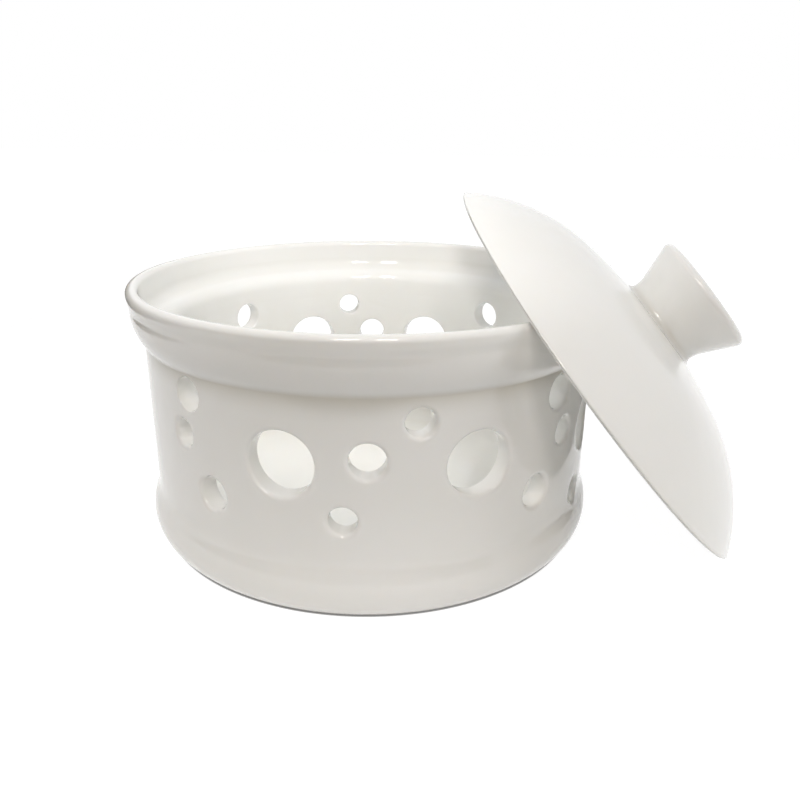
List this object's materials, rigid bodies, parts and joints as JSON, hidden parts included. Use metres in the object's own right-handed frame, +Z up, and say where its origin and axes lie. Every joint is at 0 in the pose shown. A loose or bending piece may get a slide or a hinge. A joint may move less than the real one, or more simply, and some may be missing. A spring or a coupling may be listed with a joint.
{
  "type": "onion storage jar",
  "caption": "Round white glazed porcelain keeper with air vents through its wall, a stepped rim and a domed, knobbed lid that leans on the rim.",
  "frame": {"origin": "centre of the jar's foot ring, on the table", "axes": "+Z up along the jar's axis, +X from the jar towards the leaning lid, the front of the jar towards -Y"},
  "size_m": [0.2578, 0.2, 0.1413],
  "materials": {
    "glazed_porcelain": "clear gloss glaze over white porcelain"
  },
  "bodies": {
    "jar": {"jar_body": "glazed_porcelain"},
    "lid": {"lid": "glazed_porcelain", "lid_knob": "glazed_porcelain"}
  },
  "joints": [
    {"name": "lid_lift", "type": "slide", "parent": "jar", "child": "lid", "axis": [0, 0, 1], "range_m": [0, 0.13]}
  ]
}
